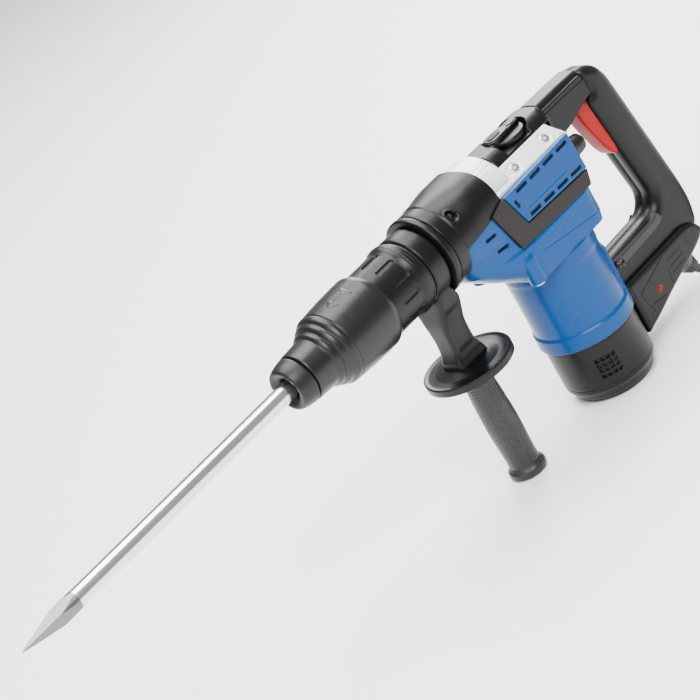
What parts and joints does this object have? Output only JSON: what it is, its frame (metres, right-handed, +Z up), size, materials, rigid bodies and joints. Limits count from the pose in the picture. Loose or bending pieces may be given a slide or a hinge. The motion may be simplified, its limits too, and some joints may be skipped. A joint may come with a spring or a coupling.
{
  "type": "demolition hammer",
  "caption": "Corded demolition hammer with a pointed chisel, sliding-sleeve tool holder, swivelling front grip, D-shaped trigger handle and an upright motor.",
  "frame": {"origin": "on the floor under the middle of the tool, which stands on its motor base and the end of its front grip", "axes": "+X from the chisel point towards the rear handle, parallel to the hammer axis; +Z up, from the motor base towards the hammer axis; +Y to the right of a user who looks along the chisel from behind the handle, so the side with the speed wheel faces -Y"},
  "size_m": [1.161, 0.1527, 0.2755],
  "materials": {
    "polished_steel": "polished",
    "machined_steel": "machined",
    "screw_steel": "satin",
    "spring_steel": "satin",
    "core_steel": "laminated, matt",
    "copper": "satin",
    "brass": "satin",
    "carbon": "matt",
    "rubber_black": "matt",
    "soft_grip": "soft, textured",
    "black_plastic": "satin",
    "blue_plastic": "gloss",
    "dark_band": "satin",
    "cast_aluminium": "cast, satin",
    "red_plastic": "satin",
    "circuit_board": "satin",
    "cord_rubber": "satin"
  },
  "bodies": {
    "housing": {"stator_core": "core_steel", "stator_windings": "copper", "brush_holders": "brass", "carbon_brushes": "carbon", "drive_bearings": "machined_steel", "motor_housing": "blue_plastic", "motor_end_cap": "black_plastic", "barrel": "cast_aluminium", "front_seal": "rubber_black", "spindle_bearings": "machined_steel", "front_cover": "black_plastic", "gear_housing": "cast_aluminium", "body_screws": "screw_steel", "top_cover": "black_plastic", "vent_cover_left": "blue_plastic", "vent_cover_right": "blue_plastic", "side_bands": "dark_band", "gear_shroud": "blue_plastic", "rear_bumpers": "rubber_black", "handle_shell_left": "black_plastic", "handle_shell_right": "black_plastic", "soft_grip": "soft_grip", "handle_screws": "screw_steel", "trigger_spring": "spring_steel", "switch_module": "black_plastic", "speed_electronics": "circuit_board", "wheel_pin": "machined_steel", "cable_boot": "rubber_black", "cord": "cord_rubber", "cord_coil": "cord_rubber", "mains_plug": "cord_rubber"},
    "armature": {"armature_shaft": "machined_steel", "armature_core": "core_steel", "commutator": "copper", "cooling_fan": "black_plastic"},
    "crank": {"crank_gear": "machined_steel"},
    "idler": {"idler_shaft": "machined_steel"},
    "spindle": {"tool_holder": "machined_steel", "hammer_tube": "machined_steel", "bevel_ring_gear": "machined_steel", "dust_cap": "rubber_black", "slotted_collar": "black_plastic", "locking_rollers": "machined_steel", "sleeve_spring": "spring_steel"},
    "sleeve": {"locking_sleeve": "black_plastic"},
    "chisel": {"chisel": "polished_steel"},
    "striker": {"striker": "machined_steel"},
    "impact_bolt": {"impact_bolt": "machined_steel"},
    "piston": {"piston": "machined_steel", "wrist_pin": "machined_steel"},
    "connecting_rod": {"connecting_rod": "machined_steel"},
    "grip_clamp": {"clamp_band": "black_plastic", "handle_arm": "black_plastic", "guard_disc": "black_plastic"},
    "front_grip": {"front_grip": "soft_grip", "clamp_rod": "machined_steel"},
    "trigger": {"trigger": "red_plastic"},
    "speed_wheel": {"speed_wheel": "red_plastic"},
    "selector": {"selector_knob": "black_plastic"},
    "selector_button": {"selector_button": "black_plastic"}
  },
  "joints": [
    {"name": "armature_spin", "type": "hinge", "parent": "housing", "child": "armature", "pos_m": [0.241, 0, 0.114], "axis": [0, 0, 1], "continuous": true},
    {"name": "crank_spin", "type": "hinge", "parent": "housing", "child": "crank", "pos_m": [0.269, 0, 0.204], "axis": [0, 0, 1], "continuous": true},
    {"name": "idler_spin", "type": "hinge", "parent": "housing", "child": "idler", "pos_m": [0.211, 0, 0.184], "axis": [0, 0, 1], "continuous": true},
    {"name": "spindle_spin", "type": "hinge", "parent": "housing", "child": "spindle", "pos_m": [0.085, 0, 0.234], "axis": [1, 0, 0], "continuous": true},
    {"name": "sleeve_slide", "type": "slide", "parent": "spindle", "child": "sleeve", "axis": [1, 0, 0], "range_m": [0, 0.012], "stiffness_N_per_m": 1500, "springref_m": -0.008, "deforming": ["sleeve_spring"]},
    {"name": "chisel_play", "type": "slide", "parent": "spindle", "child": "chisel", "axis": [-1, 0, 0], "range_m": [0, 0.011]},
    {"name": "striker_slide", "type": "slide", "parent": "spindle", "child": "striker", "axis": [-1, 0, 0], "range_m": [-0.004, 0.011]},
    {"name": "impact_bolt_slide", "type": "slide", "parent": "spindle", "child": "impact_bolt", "axis": [-1, 0, 0], "range_m": [-0.003, 0.002]},
    {"name": "piston_slide", "type": "slide", "parent": "housing", "child": "piston", "axis": [1, 0, 0], "range_m": [0, 0.024]},
    {"name": "rod_swing", "type": "hinge", "parent": "piston", "child": "connecting_rod", "pos_m": [0.187, 0, 0.234], "axis": [0, 0, 1], "range_deg": [-10, 10]},
    {"name": "front_grip_swivel", "type": "hinge", "parent": "housing", "child": "grip_clamp", "pos_m": [0.102, 0, 0.234], "axis": [1, 0, 0], "continuous": true},
    {"name": "front_grip_turn", "type": "hinge", "parent": "grip_clamp", "child": "front_grip", "pos_m": [0.102, 0, 0.084], "axis": [0, 0, 1], "range_deg": [0, 1080]},
    {"name": "trigger_press", "type": "hinge", "parent": "housing", "child": "trigger", "pos_m": [0.369, 0, 0.231], "axis": [0, -1, 0], "range_deg": [0, 7], "stiffness_Nm_per_rad": 4, "springref_deg": -8.59, "deforming": ["trigger_spring"]},
    {"name": "speed_wheel_turn", "type": "hinge", "parent": "housing", "child": "speed_wheel", "pos_m": [0.32, -0.015, 0.046], "axis": [0.7071, 0, -0.7071], "range_deg": [-135, 135]},
    {"name": "selector_turn", "type": "hinge", "parent": "housing", "child": "selector", "pos_m": [0.263, 0, 0.264], "axis": [0, 0, 1], "range_deg": [0, 120]},
    {"name": "selector_button_press", "type": "slide", "parent": "selector", "child": "selector_button", "axis": [0, 0, -1], "range_m": [0, 0.002], "stiffness_N_per_m": 600, "springref_m": -0.002}
  ],
  "couplings": [
    {"joint": "crank_spin", "follows": "armature_spin", "ratio": -0.27273},
    {"joint": "idler_spin", "follows": "armature_spin", "ratio": -0.25},
    {"joint": "spindle_spin", "follows": "armature_spin", "ratio": 0.10417}
  ]
}
